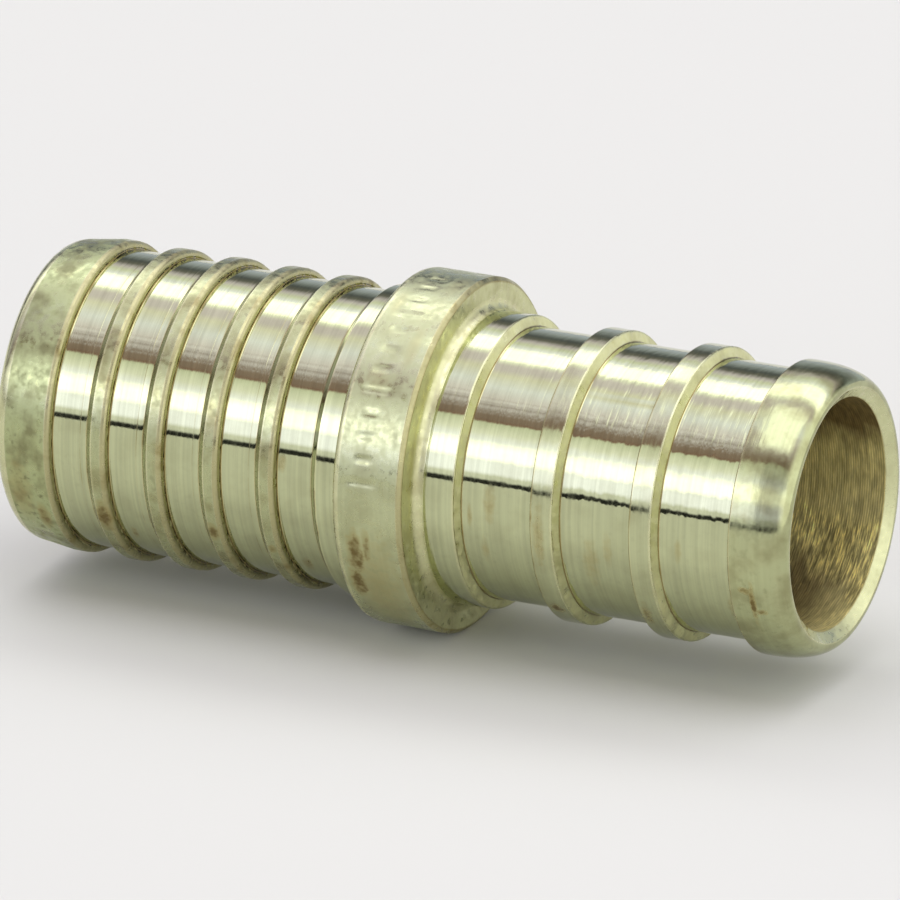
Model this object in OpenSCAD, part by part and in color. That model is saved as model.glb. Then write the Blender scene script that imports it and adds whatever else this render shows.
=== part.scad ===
// Brass insert coupling that joins two sizes of plastic water tube.
// One turned piece. X runs along the bore towards the small end, Z is up,
// and the origin is on the bore axis at the middle of the collar.

/* [Bore] */
// Diameter of the bore that runs right through
bore_d = 9.72; // [9.2:0.02:9.8]
// Radial width of the chamfer at each mouth of the bore
mouth_chamfer_r = 0.46; // [0.1:0.02:0.5]
// Axial depth of the chamfer at each mouth of the bore
mouth_chamfer_x = 0.34; // [0.1:0.02:0.8]

/* [Collar] */
// Outer diameter of the collar
collar_d = 14.88; // [14.6:0.02:16.5]
// Width of the collar along the bore
collar_w = 3.14; // [3:0.02:5]
// Chamfer on the collar's rim towards the small end
collar_chamfer = 0.16; // [0.05:0.01:0.3]
// Rounding of the collar's rim towards the large end
collar_round = 0.3; // [0.1:0.05:0.45]
// Radius of the fillet between the collar's stop face and the first rib
stop_fillet = 0.4; // [0.1:0.05:0.6]

/* [Small end] */
// Outer diameter of the ribs and of the end land
rib_d = 12.26; // [11.9:0.02:12.6]
// Diameter at the floor of the grooves between the ribs
rib_groove_d = 11.34; // [11:0.02:11.6]
// Number of grooves
rib_grooves = 3; // [1:1:4]
// Distance from one rib to the next
rib_pitch = 4.45; // [3.5:0.05:5.5]
// Width of the free ribs
rib_w = 0.98; // [0.6:0.02:1.4]
// Width of the rib that stands against the collar
first_rib_w = 1.78; // [1.2:0.02:2.4]
// Axial run of the steep back of a rib
rib_back = 0.18; // [0.1:0.02:0.4]
// Length of the end land, nose included
end_land_w = 2.46; // [2.2:0.02:3.2]
// Length of the rounded nose
small_nose = 2; // [1:0.1:2.1]
// Width of the flat ring at the tip of the nose
small_face_w = 0.12; // [0.04:0.02:0.2]

/* [Large end] */
// Outer diameter over the barbs and the plain band
barb_d = 13.06; // [12.9:0.02:13.4]
// Diameter at the floor of the grooves between the barbs
barb_groove_d = 12.36; // [12.1:0.02:12.6]
// Number of barbs
barbs = 5; // [2:1:6]
// Distance from one barb to the next
barb_pitch = 2.57; // [2.2:0.01:3]
// Width of a barb at its foot
barb_w = 1; // [0.9:0.02:1.3]
// Axial run of the slope that leads up to a barb
barb_lead = 0.32; // [0.2:0.01:0.4]
// Rounding of a barb's edge on the side that grips
barb_round = 0.22; // [0.05:0.01:0.25]
// Width of the plain band beside the collar, at its foot
band_w = 1.48; // [0.8:0.02:1.8]
// Length of the tapered nose, from the last barb's shoulder to the end face
large_nose = 2.72; // [2.4:0.02:3.2]
// Diameter at the tip of the tapered nose, before its edge is rounded
large_tip_d = 12.48; // [12.3:0.02:12.7]
// Rounding of the tapered nose's edge
large_tip_round = 0.65; // [0.2:0.05:0.7]

/* [Hidden] */
facets = 96;
arc_steps = 8;
overshoot = 1;

bore_r = bore_d / 2;
mouth_r = bore_r + mouth_chamfer_r;
collar_r = collar_d / 2;
rib_r = rib_d / 2;
rib_groove_r = rib_groove_d / 2;
rib_groove_w = rib_pitch - rib_w;
barb_r = barb_d / 2;
barb_groove_r = barb_groove_d / 2;
barb_groove_w = barb_pitch - barb_w;
large_tip_r = large_tip_d / 2;
small_face_r = mouth_r + small_face_w;

// Places along the bore
stop_x = collar_w / 2;
back_x = -collar_w / 2;
small_end_x = stop_x + first_rib_w + rib_grooves * rib_pitch - rib_w + end_land_w;
first_shoulder_x = back_x - band_w - barb_groove_w;
last_shoulder_x = first_shoulder_x - (barbs - 1) * barb_pitch;
large_end_x = last_shoulder_x - large_nose;

// Part of an ellipse about (cx, cr) with half axes a and b, from angle t0 to t1
function arc(cx, cr, a, b, t0, t1) =
    [for (i = [0:arc_steps])
        let (t = t0 + (t1 - t0) * i / arc_steps)
        [cx + a * cos(t), cr + b * sin(t)]];

// The crest of a barb and the shoulder that faces the collar, at x
function barb_crest(x) = concat(
    [[x - barb_w + barb_lead, barb_r]],
    arc(x - barb_round, barb_r - barb_round, barb_round, barb_round, 90, 0),
    [[x, barb_groove_r]]);

// A barb from the foot of its slope to the foot of its shoulder
function barb(x) = concat([[x - barb_w, barb_groove_r]], barb_crest(x));

// The groove that starts at the back of a rib, at x, and ends at the next rib
function rib_groove(x) =
    [[x, rib_r], [x + rib_back, rib_groove_r],
     [x + rib_groove_w, rib_groove_r], [x + rib_groove_w, rib_r]];

// Tapered nose, barbs and plain band, from the end face to the collar
function large_end() = concat(
    arc(large_end_x + large_tip_round, large_tip_r - large_tip_round,
        large_tip_round, large_tip_round, 180, 90),
    barb_crest(last_shoulder_x),
    [for (k = [barbs - 2:-1:0]) each barb(first_shoulder_x - k * barb_pitch)],
    [[back_x - band_w, barb_groove_r], [back_x - band_w + barb_lead, barb_r],
     [back_x, barb_r]]);

// The collar, down to the foot of the fillet on its stop face
function collar() = concat(
    arc(back_x + collar_round, collar_r - collar_round, collar_round, collar_round, 180, 90),
    [[stop_x - collar_chamfer, collar_r], [stop_x, collar_r - collar_chamfer]],
    arc(stop_x + stop_fillet, rib_r + stop_fillet, stop_fillet, stop_fillet, 180, 270));

// Ribs, end land and rounded nose, from the collar to the end face
function small_end() = concat(
    [for (k = [0:rib_grooves - 1]) each rib_groove(stop_x + first_rib_w + k * rib_pitch)],
    arc(small_end_x - small_nose, small_face_r, small_nose, rib_r - small_face_r, 90, 0));

// Half outline of the outside, closed along the axis
function outline() = concat(
    [[large_end_x, 0]], large_end(), collar(), small_end(), [[small_end_x, 0]]);

// The straight bore and the chamfer at each of its mouths
module bore() {
    rotate([0, 90, 0]) {
        translate([0, 0, large_end_x - overshoot])
            cylinder(r = bore_r, h = small_end_x - large_end_x + 2 * overshoot, $fn = facets);
        translate([0, 0, small_end_x - mouth_chamfer_x])
            cylinder(r1 = bore_r, r2 = mouth_r, h = mouth_chamfer_x, $fn = facets);
        translate([0, 0, large_end_x])
            cylinder(r1 = mouth_r, r2 = bore_r, h = mouth_chamfer_x, $fn = facets);
    }
}

module coupling_body() {
    color([0.8, 0.77, 0.52])
    difference() {
        rotate([0, 90, 0])
            rotate_extrude($fn = facets)
                polygon([for (p = outline()) [p[1], p[0]]]);
        bore();
    }
}

coupling_body();
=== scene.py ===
"""Looks of the insert coupling: one turned brass body with its tool marks and stains.

Lengths are in millimetres unless a name says otherwise. X runs along the bore towards
the small end, Z is up, and the origin is on the bore axis at the middle of the collar.
"""
import math
from types import SimpleNamespace

import bpy
import numpy as np
from mathutils import Matrix, Vector


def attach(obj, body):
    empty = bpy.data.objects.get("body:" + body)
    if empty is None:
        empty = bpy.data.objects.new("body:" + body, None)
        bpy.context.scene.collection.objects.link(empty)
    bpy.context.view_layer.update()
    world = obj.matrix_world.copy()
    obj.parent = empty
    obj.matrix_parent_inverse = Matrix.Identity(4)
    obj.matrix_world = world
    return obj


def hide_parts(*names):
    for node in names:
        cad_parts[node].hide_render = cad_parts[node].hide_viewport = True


MM = 0.001

# Bore and its mouths
BORE_R = 4.86
MOUTH_R = 5.32
MOUTH_DEPTH = 0.34

# Collar
COLLAR_R = 7.44
COLLAR_HALF = 1.57
COLLAR_ROUND = 0.3
COLLAR_CHAMFER = 0.16
STOP_FILLET = 0.4

# Small end, with its ribs
RIB_R = 6.13
RIB_FLOOR_R = 5.67
RIB_PITCH = 4.45
RIB_WIDTH = 0.98
RIB_BACK = 0.18
RIBS = 3
FIRST_RIB_END = 3.35
SMALL_END = 18.18
SMALL_NOSE = 2.0
SMALL_RING_R = 5.44

# Large end, with its barbs
BARB_R = 6.53
BARB_FLOOR_R = 6.18
BARB_PITCH = 2.57
BARB_WIDTH = 1.0
BARB_LEAD = 0.32
BARB_ROUND = 0.22
BARBS = 5
FIRST_SHOULDER = -4.61
BAND_FOOT = -3.05
LARGE_END = -17.61
LARGE_TIP_R = 6.24
LARGE_TIP_ROUND = 0.65

# Plain stamped marks round the collar: long and short bars at even steps over part of the turn
MARK_MIDDLE = -0.2
MARK_LONG = 0.62
MARK_SHORT = 0.34
MARK_ROWS = 13
MARK_DEPTH = 0.055
MARK_FIRST = 7.5
MARK_STEP = 7.5
MARK_COUNT = 12
MARK_WIDTH = 0.16
MARK_SOFTNESS = 0.2
MARK_END_SOFTNESS = 0.16
MARK_MARGIN = 0.1
LONG_MARK_EVERY = 4

# Dents as x, angle from the front in degrees, radius and depth
DENTS = (
    (1.42, 57.5, 0.1, 0.08),
    (0.3, -47.0, 0.45, 0.04),
    (-0.9, -64.0, 1.5, 0.06),
    (11.15, 56.5, 0.1, 0.03),
    (17.3, -17.0, 0.12, 0.03),
)

# Mesh, with the turn cut so that every stamped mark has a row of points along its middle
TURN_STEPS = 336
EDGE_ROUND = 0.05
FOOT_ROUND = 0.03
TINY_ROUND = 0.02
FILLET_STEPS = 5
NOSE_STEPS = 12
SCRIBE_WIDTH = 0.03
SCRIBE_GAP = 0.3
# Distance from the end of a rounding to the row of points that keeps the flank beside it flat
SUPPORT = 0.06
# A rounded corner has two steps, and more when its radius is above each of these
ROUND_STEPS = ((0.04, 1), (0.1, 2), (0.25, 1))
# Turn in radians below which a corner is left as it is
LEAST_TURN = 0.03
# Radii that differ by less than this count as the same
NEAR = 0.01
# The dents reach only what is outside this radius
DENTED_FROM = BORE_R + 0.3

# Finishes, as three numbers from 0 to 1: how polished the surface is, how much brown film
# it carries, and its tone from dull green patina through clean brass to pale gold
POLISHED = (1.0, 0.05, 0.5)
TIDY = (0.75, 0.16, 0.5)
LAND_SKIN = (0.7, 0.34, 0.32)
BARB_SKIN = (0.5, 0.5, 0.3)
COLLAR_SKIN = (0.48, 0.16, 0.42)
MATTE = (0.42, 0.22, 0.08)
SHOULDER = (0.42, 0.85, 0.8)
RIB_SHOULDER = (0.25, 0.2, 1.0)
STOP_FACE = (0.35, 0.3, 0.8)
FILLET = (0.42, 0.35, 0.9)
SCRIBED = (0.6, 0.8, 0.6)
BORE_SKIN = (0.25, 0.9, 0.5)
MOUTH_SKIN = (0.45, 0.1, 0.75)
EDGE_TONE = 0.8


def ellipse(x, r, half_x, half_r, start, end, steps):
    """Points of an elliptical arc about (x, r), with angles in degrees."""
    turns = [math.radians(start + (end - start) * i / steps) for i in range(steps + 1)]
    return [(x + half_x * math.cos(t), r + half_r * math.sin(t)) for t in turns]


def corner(x, r, rounding, film, finish):
    """A corner of the outline, and the finish of the surface that follows it."""
    return {"at": (x, r), "rounding": rounding, "film": film, "finish": finish}


def barb(shoulder):
    """A barb from the foot of its slope to the foot of its shoulder."""
    crest = shoulder - BARB_WIDTH + BARB_LEAD
    return [
        corner(shoulder - BARB_WIDTH, BARB_FLOOR_R, FOOT_ROUND, 0.9, BARB_SKIN),
        corner(crest, BARB_R, EDGE_ROUND, 0.1, BARB_SKIN),
        corner(shoulder, BARB_R, BARB_ROUND, 0.25, SHOULDER),
        corner(shoulder, BARB_FLOOR_R, FOOT_ROUND, 1.0, POLISHED),
    ]


def scribe(x, r, finish):
    """A fine turned line in a plain surface."""
    return [
        corner(x - SCRIBE_WIDTH, r, 0, 0, finish),
        corner(x, r, 0, 0, SCRIBED),
        corner(x + SCRIBE_WIDTH, r, 0, 0, finish),
    ]


def large_end():
    """End face, tapered nose, barbs and plain band."""
    points = [
        corner(LARGE_END, MOUTH_R, EDGE_ROUND, 0.3, TIDY),
        corner(LARGE_END, LARGE_TIP_R, LARGE_TIP_ROUND, 0.3, MATTE),
    ]
    last = FIRST_SHOULDER - (BARBS - 1) * BARB_PITCH
    points += barb(last)[1:]
    points[-3].update(rounding=0, finish=MATTE)
    for k in range(BARBS - 2, -1, -1):
        shoulder = FIRST_SHOULDER - k * BARB_PITCH
        points += scribe(shoulder - BARB_WIDTH - SCRIBE_GAP, BARB_FLOOR_R, POLISHED)
        points += barb(shoulder)
    points += [
        corner(BAND_FOOT, BARB_FLOOR_R, FOOT_ROUND, 0.9, TIDY),
        corner(BAND_FOOT + BARB_LEAD, BARB_R, EDGE_ROUND, 0.2, POLISHED),
        corner(-COLLAR_HALF, BARB_R, FOOT_ROUND, 0.8, COLLAR_SKIN),
    ]
    return points


def stop_fillet():
    """The hollow corner between the stop face and the small end, with a finish of its own."""
    middle_x = COLLAR_HALF + STOP_FILLET
    middle_r = RIB_R + STOP_FILLET
    arc = ellipse(middle_x, middle_r, STOP_FILLET, STOP_FILLET, 180, 270, FILLET_STEPS)
    return [
        corner(COLLAR_HALF, middle_r + SUPPORT, 0, 0, STOP_FACE),
        *[corner(x, r, 0, 0, FILLET) for x, r in arc],
        corner(middle_x + SUPPORT, RIB_R, 0, 0, POLISHED),
    ]


def collar():
    """Back face, rim and stop face of the collar, with rows of points to carry its marks."""
    rim = [
        corner(x, COLLAR_R, 0, 0.3, COLLAR_SKIN)
        for x in MARK_MIDDLE + np.linspace(-1, 1, MARK_ROWS) * (MARK_LONG + MARK_MARGIN)
    ]
    return [
        corner(-COLLAR_HALF, COLLAR_R, COLLAR_ROUND, 0.3, COLLAR_SKIN),
        *rim,
        corner(COLLAR_HALF - COLLAR_CHAMFER, COLLAR_R, EDGE_ROUND, 0.3, SHOULDER),
        corner(COLLAR_HALF, COLLAR_R - COLLAR_CHAMFER, EDGE_ROUND, 0.9, STOP_FACE),
        *stop_fillet(),
    ]


def small_end():
    """Ribs, end land, rounded nose and flat ring."""
    points = []
    back = FIRST_RIB_END
    for _ in range(RIBS):
        foot = back + RIB_PITCH - RIB_WIDTH
        points += [
            corner(back, RIB_R, EDGE_ROUND, 0.25, RIB_SHOULDER),
            corner(back + RIB_BACK, RIB_FLOOR_R, FOOT_ROUND, 1.0, POLISHED),
            corner(foot, RIB_FLOOR_R, FOOT_ROUND, 0.5, SHOULDER),
            corner(foot, RIB_R, EDGE_ROUND, 0.3, TIDY),
        ]
        back += RIB_PITCH
    drop = RIB_R - SMALL_RING_R
    nose = ellipse(SMALL_END - SMALL_NOSE, SMALL_RING_R, SMALL_NOSE, drop, 90, 0, NOSE_STEPS)
    points[-1]["finish"] = LAND_SKIN
    points += [corner(x, r, 0, 0.1, LAND_SKIN) for x, r in nose]
    return points


def bore():
    """Chamfered mouths and the straight bore, from the small end back to the large end."""
    return [
        corner(SMALL_END, MOUTH_R, TINY_ROUND, 0.1, MOUTH_SKIN),
        corner(SMALL_END - MOUTH_DEPTH, BORE_R, FOOT_ROUND, 0.4, BORE_SKIN),
        corner(LARGE_END + MOUTH_DEPTH, BORE_R, FOOT_ROUND, 0.4, MOUTH_SKIN),
    ]


def unit(vector):
    return vector / np.linalg.norm(vector)


def round_corner(here, finish_in, to_before, to_after, half_turn):
    """Rows of points round one corner, from the flank before it to the flank after it."""
    at = np.array(here["at"])
    finish_out = here["finish"]
    reach = here["rounding"] * math.tan(half_turn)
    start = at + to_before * reach
    end = at + to_after * reach
    centre = at + unit(to_before + to_after) * (here["rounding"] / math.cos(half_turn))
    swing = 2 * half_turn
    first = start - centre
    side = (end - centre) - first * math.cos(swing)
    side /= max(math.sin(swing), 1e-9)
    polish = (finish_in[0] + finish_out[0]) / 2
    film = max(here["film"], finish_in[1], finish_out[1])
    steps = 2 + sum(share for least, share in ROUND_STEPS if here["rounding"] > least)
    rows = [[*(start + to_before * SUPPORT), *finish_in]]
    for k in range(steps + 1):
        t = swing * k / steps
        point = centre + first * math.cos(t) + side * math.sin(t)
        rows.append([*point, polish, film, EDGE_TONE])
    rows.append([*(end + to_after * SUPPORT), *finish_out])
    return rows


def rounded(corners):
    """Closed outline as rows of x, r, polish, film and tone, with its corners rounded."""
    rows = []
    for i, here in enumerate(corners):
        at = np.array(here["at"])
        to_before = unit(np.array(corners[i - 1]["at"]) - at)
        to_after = unit(np.array(corners[(i + 1) % len(corners)]["at"]) - at)
        half_turn = math.acos(np.clip(-to_before @ to_after, -1, 1)) / 2
        if here["rounding"] == 0 or half_turn < LEAST_TURN:
            rows.append([*at, *here["finish"]])
        else:
            rows += round_corner(here, corners[i - 1]["finish"], to_before, to_after, half_turn)
    return np.array(rows)


def outline():
    return rounded(large_end() + collar() + small_end() + bore())


def smooth_step(distance, edge, softness):
    """1 inside the edge, 0 outside it, with a smooth change between them."""
    t = np.clip((edge - distance) / softness + 0.5, 0, 1)
    return t * t * (3 - 2 * t)


def mark_depth(x, along):
    """How deep the stamped marks are, at x and a length along the collar's rim."""
    depth = np.zeros_like(x)
    for k in range(MARK_COUNT):
        centre = math.radians(MARK_FIRST + k * MARK_STEP) * COLLAR_R
        half = MARK_LONG if k % LONG_MARK_EVERY == 0 else MARK_SHORT
        across = smooth_step(np.abs(along - centre), MARK_WIDTH / 2, MARK_SOFTNESS)
        lengthwise = smooth_step(np.abs(x - MARK_MIDDLE), half, MARK_END_SOFTNESS)
        depth = np.maximum(depth, across * lengthwise)
    return depth * MARK_DEPTH


def relief(x, r, turn):
    """The outside radius after the stamped marks and the dents."""
    along = (turn + math.pi) % (2 * math.pi) - math.pi
    marked = np.abs(x - MARK_MIDDLE) < MARK_LONG + 2 * MARK_MARGIN
    on_rim = (np.abs(r - COLLAR_R) < NEAR) & marked
    lowered = r - mark_depth(x, along * COLLAR_R) * on_rim
    for at, degrees, radius, depth in DENTS:
        away = np.hypot(x - at, (along - math.radians(degrees)) * r)
        lowered -= depth * np.exp(-(away / radius) ** 2) * (r > DENTED_FROM)
    return lowered


def turned_mesh(name, rows):
    """The outline turned about X into a closed mesh, with its finish as vertex attributes."""
    turns = np.linspace(0, 2 * math.pi, TURN_STEPS, endpoint=False)
    x, r, polish, film, tone = (np.repeat(rows[:, k][:, None], TURN_STEPS, 1) for k in range(5))
    around = np.repeat(turns[None, :], len(rows), 0)
    shaped = relief(x, r, around)
    places = np.stack([x, -shaped * np.cos(around), shaped * np.sin(around)], -1) * MM
    i = np.arange(len(rows))[:, None]
    j = np.arange(TURN_STEPS)[None, :]
    i_next = (i + 1) % len(rows)
    j_next = (j + 1) % TURN_STEPS
    quads = np.stack(np.broadcast_arrays(
        i * TURN_STEPS + j, i * TURN_STEPS + j_next,
        i_next * TURN_STEPS + j_next, i_next * TURN_STEPS + j), -1)
    mesh = bpy.data.meshes.new(name)
    mesh.from_pydata(places.reshape(-1, 3).tolist(), [], quads.reshape(-1, 4).tolist())
    mesh.shade_smooth()
    for key, values in (("polish", polish), ("film", film), ("tone", tone)):
        layer = mesh.attributes.new(key, "FLOAT", "POINT")
        layer.data.foreach_set("value", values.ravel().astype(np.float32))
    in_bore = (r < BORE_R + NEAR) & (np.roll(r, -1, 0) < BORE_R + NEAR)
    mesh.polygons.foreach_set("material_index", in_bore.ravel().astype(np.int32))
    return mesh


def add(tree, kind, inputs=(), out=0, **settings):
    """Adds a node, fills or links its inputs, and returns one of its outputs."""
    node = tree.nodes.new(kind)
    for key, value in settings.items():
        setattr(node, key, value)
    pairs = inputs.items() if isinstance(inputs, dict) else enumerate(inputs)
    for key, value in pairs:
        if isinstance(value, bpy.types.NodeSocket):
            tree.links.new(value, node.inputs[key])
        elif value is not None:
            node.inputs[key].default_value = value
    return node.outputs[out]


def calc(tree, operation, *inputs):
    return add(tree, "ShaderNodeMath", inputs, operation=operation)


def remap(tree, value, low, high, to_low, to_high):
    return add(tree, "ShaderNodeMapRange", (value, low, high, to_low, to_high))


def mix_colour(tree, amount, first, second):
    return add(tree, "ShaderNodeMix", {0: amount, 6: first, 7: second}, out=2, data_type="RGBA")


def times(tree, colour, factor):
    """A colour multiplied by one number."""
    shade = add(tree, "ShaderNodeCombineXYZ", (factor, factor, factor))
    return add(tree, "ShaderNodeMix", {0: 1.0, 6: colour, 7: shade}, out=2, data_type="RGBA",
               blend_type="MULTIPLY")


def between(tree, value, low, high, softness):
    """1 where value is between low and high, with soft edges."""
    rise = remap(tree, value, low - softness, low + softness, 0, 1)
    fall = remap(tree, value, high - softness, high + softness, 1, 0)
    return calc(tree, "MULTIPLY", rise, fall)


def noise(tree, place, scale, detail=3.0):
    """Smooth noise, with a scale for each axis in cycles per millimetre."""
    stretched = add(tree, "ShaderNodeVectorMath", (place, scale), operation="MULTIPLY")
    return add(tree, "ShaderNodeTexNoise", {"Vector": stretched, "Scale": 1.0, "Detail": detail})


CLEAN_BRASS = (0.525, 0.553, 0.325, 1)
PATINA = (0.42, 0.47, 0.23, 1)
PALE_GOLD = (0.78, 0.78, 0.455, 1)
BROWN_FILM = (0.29, 0.23, 0.08, 1)
YELLOWED = (0.40, 0.325, 0.12, 1)
BORE_BRASS = (0.87, 0.79, 0.38, 1)
# Dark brown of the film and painted shade along the top and the bottom of the bore
BORE_FILM_AND_SHADE = (0.20, 0.14, 0.055, 1)
DARK_SPOT = (0.13, 0.085, 0.03, 1)
PIT = (0.17, 0.16, 0.075, 1)

# Stains as x, angle from the front in degrees, half length along X, half length round, strength.
# Above a strength of about 0.6 a stain is dark brown in the middle; below it is only yellowed.
STAINS = (
    (-0.62, -19, 0.42, 1.1, 1.0),
    (-0.75, -30, 0.42, 0.9, 1.0),
    (0.9, 88, 0.5, 0.8, 0.3),
    (-0.9, 72, 0.3, 0.7, 0.3),
    (0.75, 55, 0.3, 0.9, 0.3),
    (-0.3, 41, 0.6, 0.4, 0.25),
    (-0.05, -15, 0.22, 0.8, 0.85),
    (0.2, -32, 1.1, 2.4, 0.55),
    (-12.7, -27, 0.38, 0.85, 1.0),
    (-15.6, -33, 0.3, 0.8, 0.85),
    (-16.5, -22, 0.6, 1.6, 0.5),
    (-7.7, -26, 0.34, 0.5, 0.95),
    (-5.07, -30, 0.22, 0.22, 1.0),
    (-11.76, -39, 0.16, 0.4, 0.8),
    (-2.78, -4, 0.1, 0.6, 0.95),
    (-2.78, -17, 0.1, 0.6, 0.9),
    (-4.4, 7, 0.2, 0.4, 0.6),
    (-3.9, -41, 0.22, 0.5, 0.8),
    (4.8, 3, 0.28, 0.9, 0.6),
    (3.9, -4, 0.12, 0.6, 0.6),
    (4.5, -19, 0.18, 0.7, 0.55),
    (6.85, 2, 0.1, 0.28, 0.9),
    (7.2, -6, 0.28, 1.3, 0.7),
    (7.3, -45, 0.32, 0.4, 1.0),
    (9.3, -17, 0.35, 1.3, 0.5),
    (10.1, -10, 0.2, 0.9, 0.45),
    (11.6, -37, 0.22, 0.8, 0.75),
    (13.3, -5, 0.16, 0.6, 0.5),
    (15.5, -30, 0.22, 0.8, 0.6),
    (16.72, -21, 0.14, 1.1, 1.0),
    (16.42, -15, 0.3, 0.18, 0.95),
    (17.0, -25, 0.3, 0.16, 0.95),
)
# How much the ragged noise adds to the squared distance from a stain's middle, and the
# values of that sum between which the stain goes from none to full
STAIN_RAGGED = 2.3
STAIN_EDGE = (2.5, 1.05)


def coordinates(tree):
    """The place on the piece in millimetres, as a vector, as X, and as the turn in radians."""
    where = add(tree, "ShaderNodeTexCoord", out=3)
    place = add(tree, "ShaderNodeVectorMath", (where, (1000, 1000, 1000)), operation="MULTIPLY")
    split = add(tree, "ShaderNodeSeparateXYZ", (place,)).node
    front = calc(tree, "MULTIPLY", split.outputs[1], -1.0)
    turn = calc(tree, "ARCTAN2", split.outputs[2], front)
    return place, split.outputs[0], turn


def stain_mask(tree, x, turn, ragged):
    """Where the placed stains are, with edges that the ragged noise breaks up."""
    total = None
    for at, degrees, half_x, half_round, strength in STAINS:
        over = calc(tree, "DIVIDE", calc(tree, "SUBTRACT", x, at), half_x)
        round_scale = RIB_R / half_round
        aside = calc(tree, "SUBTRACT", turn, math.radians(degrees))
        aside = calc(tree, "MULTIPLY", aside, round_scale)
        square = calc(tree, "MULTIPLY_ADD", over, over, calc(tree, "MULTIPLY", aside, aside))
        reach = calc(tree, "MULTIPLY_ADD", ragged, STAIN_RAGGED, square)
        shape = remap(tree, reach, *STAIN_EDGE, 0, strength)
        total = shape if total is None else calc(tree, "MAXIMUM", total, shape)
    return total


def metal(name):
    """A new metal material, with its node tree and its shader."""
    material = bpy.data.materials.new(name)
    material.use_nodes = True
    shader = material.node_tree.nodes["Principled BSDF"]
    shader.inputs["Metallic"].default_value = 1.0
    return material, material.node_tree, shader


def fill_metal(tree, shader, colour, rough, height, depth):
    """Links a metal's colour and roughness, and its relief with a depth in millimetres."""
    tree.links.new(colour, shader.inputs["Base Color"])
    tree.links.new(rough, shader.inputs["Roughness"])
    bump = add(tree, "ShaderNodeBump", {"Strength": 1.0, "Distance": depth * MM, "Height": height})
    tree.links.new(bump, shader.inputs["Normal"])


# Outside of the body: noise scales in cycles per millimetre along X, Y and Z
STREAKS = (7, 0.1, 0.1)
SCRATCHES = (9, 0.25, 0.25)
MOTTLE = (0.9, 0.9, 0.9)
SPECKLE = (3.2, 3.2, 3.2)
GRAIN = (5, 5, 5)
RIPPLE = (3.2, 1.2, 1.2)
# Roughness of a surface with no polish and of one with full polish
DULL_ROUGHNESS = 0.5
POLISHED_ROUGHNESS = 0.05
RELIEF_DEPTH = 0.006
# X from which the turned floors ripple, and where they do so in full
RIPPLE_FROM = 3.5
RIPPLE_FULL = 8


def brass_fields(tree):
    """What the brass depends on: its place, its finish and its noises."""
    place, x, turn = coordinates(tree)
    polish, film, tone = (add(tree, "ShaderNodeAttribute", out=2, attribute_name=name)
                          for name in ("polish", "film", "tone"))
    speckle = noise(tree, place, SPECKLE, 4)
    return SimpleNamespace(
        x=x, turn=turn, polish=polish, film=film, tone=tone, speckle=speckle,
        streaks=noise(tree, place, STREAKS, 5),
        scratches=noise(tree, place, SCRATCHES, 3),
        mottle=noise(tree, place, MOTTLE, 6),
        grain=noise(tree, place, GRAIN, 3),
        ripple=noise(tree, place, RIPPLE, 1),
        stains=stain_mask(tree, x, turn, speckle),
        shine=remap(tree, polish, 0.6, 0.8, 0, 1),
    )


def pitting(tree, brass):
    """How dark the clouds and pits are, most of all on dull patina low on the front."""
    clouds = calc(tree, "MULTIPLY", remap(tree, brass.tone, 0.0, 0.45, 0.75, 0.1),
                  remap(tree, brass.mottle, 0.48, 0.66, 0, 1))
    pits = calc(tree, "MULTIPLY", remap(tree, brass.tone, 0.08, 0.45, 0.7, 0.1),
                remap(tree, brass.speckle, 0.55, 0.72, 0, 1))
    pits = calc(tree, "MULTIPLY", pits, remap(tree, brass.turn, -0.2, 0.5, 1, 0.25))
    return calc(tree, "MAXIMUM", clouds, pits)


def brass_colour(tree, brass):
    """Patina, clean brass or pale gold by tone, under the film, the pits and the stains."""
    colour = mix_colour(tree, remap(tree, brass.tone, 0, 0.5, 0, 1), PATINA, CLEAN_BRASS)
    colour = mix_colour(tree, remap(tree, brass.tone, 0.5, 1, 0, 1), colour, PALE_GOLD)
    patches = remap(tree, brass.mottle, 0.42, 0.7, 0.25, 1.0)
    heavy = remap(tree, brass.film, 0.6, 1.0, 0, 1)
    cover = calc(tree, "MULTIPLY", brass.film, calc(tree, "MAXIMUM", patches, heavy))
    colour = mix_colour(tree, cover, colour, BROWN_FILM)
    colour = mix_colour(tree, pitting(tree, brass), colour, PIT)
    colour = mix_colour(tree, calc(tree, "MULTIPLY", brass.stains, 0.85), colour, YELLOWED)
    colour = mix_colour(tree, remap(tree, brass.stains, 0.55, 1.0, 0, 0.75), colour, DARK_SPOT)
    turned = calc(tree, "SUBTRACT", brass.streaks, 0.5)
    contrast = remap(tree, brass.polish, 0.5, 1, 0.15, 0.45)
    return times(tree, colour, calc(tree, "MULTIPLY_ADD", turned, contrast, 0.97))


def brass_roughness(tree, brass):
    """Roughness by polish, uneven with wear: specks on dull surfaces, scratches on bright ones."""
    rough = add(tree, "ShaderNodeMapRange", (brass.polish, 0, 1, DULL_ROUGHNESS, POLISHED_ROUGHNESS),
                interpolation_type="SMOOTHERSTEP")
    worn = add(tree, "ShaderNodeMix", (brass.shine, None, brass.speckle, brass.scratches),
               data_type="FLOAT")
    rough = calc(tree, "MULTIPLY", rough, remap(tree, worn, 0.32, 0.68, 0.6, 1.6))
    return calc(tree, "MULTIPLY_ADD", brass.stains, 0.3, rough)


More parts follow.
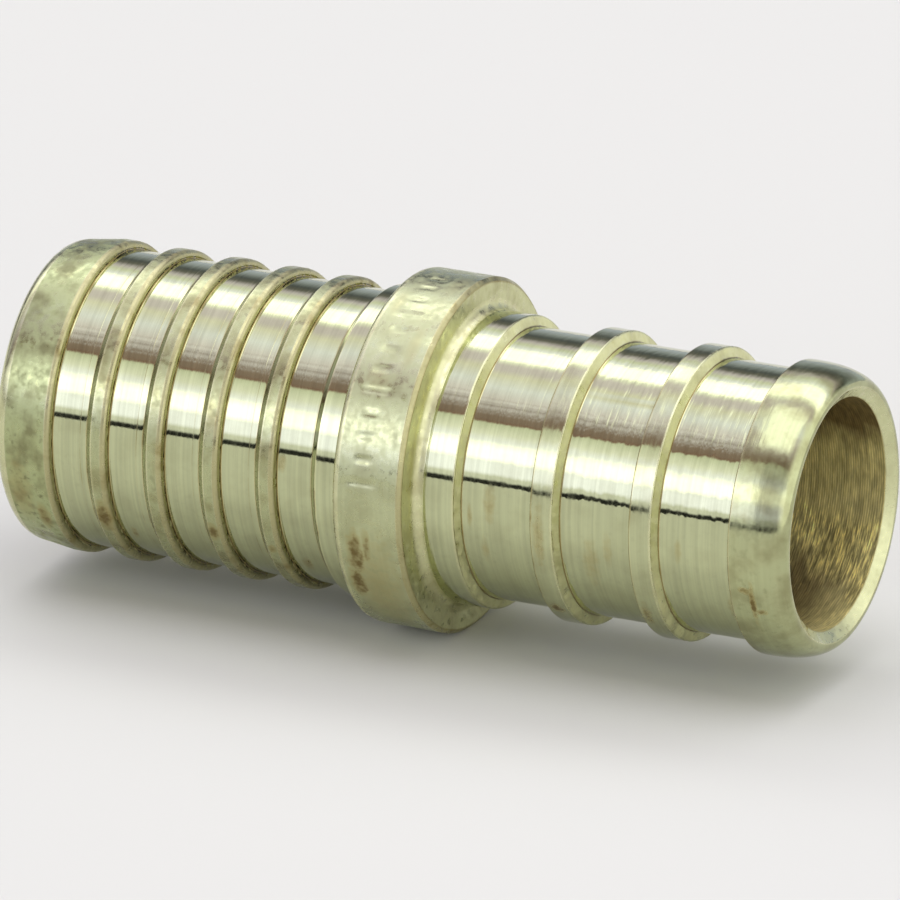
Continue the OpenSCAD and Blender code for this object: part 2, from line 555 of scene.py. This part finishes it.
def brass_height(tree, brass):
    """Relief: grain on dull surfaces, turned streaks, and a ripple along the small end."""
    grainy = calc(tree, "MULTIPLY", remap(tree, brass.tone, 0.05, 0.6, 1.2, 0.15),
                  remap(tree, brass.polish, 0, 1, 1, 0))
    height = calc(tree, "MULTIPLY", brass.grain, grainy)
    streaky = remap(tree, brass.shine, 0, 1, 0.25, 0.8)
    height = calc(tree, "MULTIPLY_ADD", brass.streaks, streaky, height)
    rippled = calc(tree, "MULTIPLY", remap(tree, brass.x, RIPPLE_FROM, RIPPLE_FULL, 0.1, 1), 1.8)
    return calc(tree, "MULTIPLY_ADD", brass.ripple, rippled, height)


def brass_material():
    """Turned brass: polished floors, duller crests, matte nose, brown film in the corners."""
    material, tree, shader = metal("turned_brass")
    brass = brass_fields(tree)
    fill_metal(tree, shader, brass_colour(tree, brass), brass_roughness(tree, brass),
               brass_height(tree, brass), RELIEF_DEPTH)
    return material


# Bore: the helix of tool marks, and noise scales in cycles per millimetre
TOOL_FEED = 0.105
TOOL_DEPTH = 0.012
TEARS = (7, 1.4, 1.4)
# Scale of the specks of painted glint
GLINT_SPECKS = (14, 1.7, 1.7)
BORE_PATCHES = (0.8, 0.35, 0.35)
# Heights above the axis between which the darkening along the top and the bottom of the bore,
# partly brown film and partly painted shade, goes from none to full, and its full strength
ROOF_FILM_AND_SHADE = (1.0, 2.4, 0.9)
SUMP_FILM_AND_SHADE = (-3.2, -4.2, 0.75)
# X between which the film and painted shade along the bottom thin out towards the mouth
SUMP_FILM_AND_SHADE_END = (17.6, 15.6)
# Heights between which the bore is rougher and carries painted glints in flecks
RUBBED_GLINT_BAND = (-4.2, -1.6)
# How far the patches shift those heights
RAGGED = 3.0


def bore_fields(tree):
    """What the bore depends on: its patches, its tool marks, its film and painted shade along the top
    and the bottom, and its band of painted glints.
    """
    place, x, turn = coordinates(tree)
    height = add(tree, "ShaderNodeSeparateXYZ", (place,), out=2)
    patches = noise(tree, place, BORE_PATCHES, 5)
    tears = noise(tree, place, TEARS, 5)
    feed = calc(tree, "MULTIPLY_ADD", x, 2 * math.pi / TOOL_FEED, turn)
    level = calc(tree, "MULTIPLY_ADD", patches, RAGGED, calc(tree, "SUBTRACT", height, RAGGED / 2))
    # Painted shade, partly real film: darker along the top and the bottom of the bore, and deeper in
    # from the mouth
    roof_film_and_shade = remap(tree, level, ROOF_FILM_AND_SHADE[0], ROOF_FILM_AND_SHADE[1], 0, ROOF_FILM_AND_SHADE[2])
    sump_film_and_shade = calc(tree, "MULTIPLY", remap(tree, level, SUMP_FILM_AND_SHADE[0], SUMP_FILM_AND_SHADE[1], 0, SUMP_FILM_AND_SHADE[2]),
                remap(tree, x, *SUMP_FILM_AND_SHADE_END, 0.1, 1))
    return SimpleNamespace(
        patches=patches, tears=tears,
        thread=calc(tree, "SINE", calc(tree, "MULTIPLY_ADD", tears, 1.2, feed)),
        glint_specks=noise(tree, place, GLINT_SPECKS, 4),
        film_and_shade=calc(tree, "MAXIMUM", roof_film_and_shade, sump_film_and_shade),
        rubbed_glint_band=between(tree, level, *RUBBED_GLINT_BAND, 0.4),
    )


def bore_colour(tree, bored):
    """Yellow brass under patches of film, darkened along the top and the bottom by film and painted
    shade, with painted shading along the tool marks and painted glints in flecks in a band low down.
    """
    film = remap(tree, bored.patches, 0.42, 0.7, 0, 0.4)
    colour = mix_colour(tree, film, BORE_BRASS, BROWN_FILM)
    # Painted shade, partly film: the top and the bottom of the bore darkened
    colour = mix_colour(tree, bored.film_and_shade, colour, BORE_FILM_AND_SHADE)
    # Painted glints: specks of lighter and darker colour in the band low in the bore
    painted_glint = remap(tree, bored.glint_specks, 0.4, 0.62, -0.4, 0.3)
    painted_glint = calc(tree, "MULTIPLY_ADD", painted_glint, bored.rubbed_glint_band, 1.0)
    # Painted shade: colour darker in the hollows of the tool helix and the tears, lighter on their
    # ridges
    tool_mark_shade = calc(tree, "MULTIPLY", remap(tree, bored.thread, -1, 1, 0.85, 1.05),
                  remap(tree, bored.tears, 0.35, 0.65, 0.75, 1.15))
    return times(tree, colour, calc(tree, "MULTIPLY", tool_mark_shade, painted_glint))


def bore_material():
    """The bored hole: brown film and painted shade over a helix of tool marks, with painted shading
    along the marks and painted glints.
    """
    material, tree, shader = metal("bored_brass")
    bored = bore_fields(tree)
    rough = calc(tree, "MULTIPLY", remap(tree, bored.patches, 0.3, 0.7, 0.6, 0.72),
                 remap(tree, bored.rubbed_glint_band, 0, 1, 1, 1.3))
    height = calc(tree, "MULTIPLY_ADD", bored.tears, 1.7, calc(tree, "MULTIPLY", bored.thread, 0.22))
    fill_metal(tree, shader, bore_colour(tree, bored), rough, height, TOOL_DEPTH)
    return material


# Half the floor's side in metres, so that its edges are far outside the view
FLOOR_HALF = 1.5
FLOOR_COLOUR = (0.63, 0.63, 0.56, 1)


def floor():
    """A plain pale floor under the collar."""
    bpy.ops.mesh.primitive_plane_add(size=2 * FLOOR_HALF, location=(0, 0, -COLLAR_R * MM))
    plane = bpy.context.object
    plane.name = "floor"
    material = bpy.data.materials.new("pale_floor")
    material.use_nodes = True
    shader = material.node_tree.nodes["Principled BSDF"]
    shader.inputs["Base Color"].default_value = FLOOR_COLOUR
    shader.inputs["Roughness"].default_value = 0.9
    shader.inputs["Specular IOR Level"].default_value = 0.1
    plane.data.materials.append(material)


# Soft light round the object, in bands parallel to the bore. Angles go from the horizon
# in front, over the top, to the horizon behind. Each stop is an angle, a brightness and
# a tint, and the light runs smoothly from one stop to the next.
WHITE = (1.0, 1.0, 1.08)
COOL_WHITE = (1.0, 1.0, 1.35)
GREEN_WHITE = (0.97, 1.0, 0.95)
WARM = (1.05, 1.0, 1.05)
LILAC = (1.12, 1.0, 1.32)
BROWN = (1.35, 0.97, 1.0)
DEEP_BROWN = (1.6, 0.9, 0.85)
SKY_BLUE = (0.92, 1.0, 1.2)
SURROUND = (
    (-2, 0.03, WHITE),
    (2.9, 0.03, WHITE),
    (3.6, 1.05, WHITE),
    (7.5, 1.12, WHITE),
    (9, 1.75, COOL_WHITE),
    (17, 1.75, COOL_WHITE),
    (19, 1.65, COOL_WHITE),
    (22, 3.0, WHITE),
    (30, 3.0, WHITE),
    (36, 1.65, COOL_WHITE),
    (42, 1.35, WHITE),
    (51, 1.0, GREEN_WHITE),
    (52, 0.22, DEEP_BROWN),
    (54, 0.28, BROWN),
    (58, 0.31, BROWN),
    (66, 0.72, LILAC),
    (72, 1.02, LILAC),
    (84, 1.33, COOL_WHITE),
    (96, 1.18, WARM),
    (102, 0.94, LILAC),
    (108, 0.97, LILAC),
    (112, 1.5, WHITE),
    (115, 2.8, WHITE),
    (127, 2.8, WHITE),
    (132, 1.45, COOL_WHITE),
    (138, 1.1, GREEN_WHITE),
    (144, 0.8, LILAC),
    (150, 0.2, WARM),
    (157, 0.13, SKY_BLUE),
    (168, 0.45, SKY_BLUE),
    (180, 0.62, SKY_BLUE),
)
# A level above every brightness in the bands, which the ramp's colours are divided by
SURROUND_TOP = 4.0
BACKDROP = (1.0, 1.0, 0.995, 1)
# An overhead softbox, as half its spread along X and the band of angles it fills
LAMP_HALF = 0.34
LAMP_BAND = (64, 102)
LAMP_LIGHT = (2.2, 2.2, 2.4, 1)
# The low light in front is shaded over this spread along X, from none at the first angle
# to SHADE at the second
SHADED = (-0.18, 0.5)
SHADED_ANGLES = (60, 40)
SHADE = 0.55
# The edge of the dark band is frayed by this many degrees, between these angles
FRAY = 7
FRAY_SCALE = 24.0
FRAYED_BAND = (57, 74)
# A pale wall beyond the small end, as the X from which it fades in and the X where it is full
WALL = (0.42, 0.72)
WALL_LIGHT = (1.5, 1.5, 1.5, 1)
# Beyond the large end all the light falls off, between these values of X, to a part of itself
FAR_END = (-0.95, -0.55)
FAR_LIGHT = 0.4


def band_ramp(tree, angle):
    """The light of the bands at an angle in degrees."""
    position = remap(tree, angle, -180, 180, 0, 1)
    ramp = tree.nodes.new("ShaderNodeValToRGB")
    tree.links.new(position, ramp.inputs[0])
    stops = ramp.color_ramp.elements
    for index, (degrees, level, tint) in enumerate(SURROUND):
        spot = (degrees + 180) / 360
        stop = stops[index] if index < 2 else stops.new(spot)
        stop.position = spot
        stop.color = [level * c / SURROUND_TOP for c in tint] + [1]
    level_up = (SURROUND_TOP, SURROUND_TOP, SURROUND_TOP)
    return add(tree, "ShaderNodeVectorMath", (ramp.outputs[0], level_up), operation="MULTIPLY")


def surround_light():
    """World light made of the bands, a lamp and a wall, with a plain backdrop past the floor."""
    world = bpy.data.worlds.new("studio")
    bpy.context.scene.world = world
    world.use_nodes = True
    tree = world.node_tree
    tree.nodes.clear()
    where = add(tree, "ShaderNodeTexCoord")
    split = add(tree, "ShaderNodeSeparateXYZ", (where,)).node
    side = split.outputs[0]
    front = calc(tree, "MULTIPLY", split.outputs[1], -1.0)
    angle = calc(tree, "DEGREES", calc(tree, "ARCTAN2", split.outputs[2], front))
    frayed = add(tree, "ShaderNodeTexNoise", {"Vector": where, "Scale": FRAY_SCALE, "Detail": 3.0})
    fray = calc(tree, "MULTIPLY", remap(tree, frayed, 0.35, 0.65, -FRAY, FRAY),
                between(tree, angle, *FRAYED_BAND, 3))
    light = band_ramp(tree, calc(tree, "ADD", angle, fray))
    lamp = calc(tree, "MULTIPLY", between(tree, side, -LAMP_HALF, LAMP_HALF, 0.03),
                between(tree, angle, *LAMP_BAND, 3))
    light = mix_colour(tree, remap(tree, side, *WALL, 0, 1), light, WALL_LIGHT)
    light = mix_colour(tree, lamp, light, LAMP_LIGHT)
    low_front = calc(tree, "MULTIPLY", between(tree, side, *SHADED, 0.1),
                     remap(tree, angle, *SHADED_ANGLES, 0, SHADE))
    dim = calc(tree, "MULTIPLY", remap(tree, side, *FAR_END, FAR_LIGHT, 1),
               calc(tree, "SUBTRACT", 1.0, low_front))
    lit = add(tree, "ShaderNodeBackground", (light, dim))
    plain = add(tree, "ShaderNodeBackground", (BACKDROP, 1.0))
    seen = add(tree, "ShaderNodeLightPath", out=0)
    both = add(tree, "ShaderNodeMixShader", (seen, lit, plain))
    output = tree.nodes.new("ShaderNodeOutputWorld")
    tree.links.new(both, output.inputs[0])


# Camera: degrees round from the front and up, and how far to the right of the origin it aims
AZIMUTH = 25.32
ELEVATION = 20.15
AIM_RIGHT = 0.31
DISTANCE = 1030.6
LENS_MM = 1000
SENSOR_MM = 36
# Nearest and farthest distance that the camera sees, in metres
CLIP = (0.1, 5)


def camera():
    turn = math.radians(AZIMUTH)
    rise = math.radians(ELEVATION)
    back = Vector((math.sin(turn) * math.cos(rise), -math.cos(turn) * math.cos(rise), math.sin(rise)))
    right = Vector((math.cos(turn), math.sin(turn), 0))
    up = back.cross(right)
    data = bpy.data.cameras.new("camera")
    data.lens = LENS_MM
    data.sensor_width = SENSOR_MM
    data.clip_start, data.clip_end = CLIP
    eye = bpy.data.objects.new("camera", data)
    bpy.context.scene.collection.objects.link(eye)
    place = (right * AIM_RIGHT + back * DISTANCE) * MM
    eye.matrix_world = Matrix.Translation(place) @ Matrix((right, up, back)).transposed().to_4x4()
    bpy.context.scene.camera = eye


def coupling():
    mesh = turned_mesh("brass_coupling", outline())
    mesh.materials.append(brass_material())
    mesh.materials.append(bore_material())
    body = bpy.data.objects.new("brass_coupling", mesh)
    bpy.context.scene.collection.objects.link(body)
    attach(body, "root")
    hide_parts("coupling_body")


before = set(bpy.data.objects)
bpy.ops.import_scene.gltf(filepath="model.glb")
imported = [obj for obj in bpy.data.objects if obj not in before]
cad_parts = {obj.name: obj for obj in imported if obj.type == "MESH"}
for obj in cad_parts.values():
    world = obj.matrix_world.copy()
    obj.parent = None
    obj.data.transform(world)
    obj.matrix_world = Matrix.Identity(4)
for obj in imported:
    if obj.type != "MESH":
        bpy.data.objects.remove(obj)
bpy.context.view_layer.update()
bpy.context.scene.view_settings.view_transform = "Standard"
camera()
surround_light()
floor()
coupling()
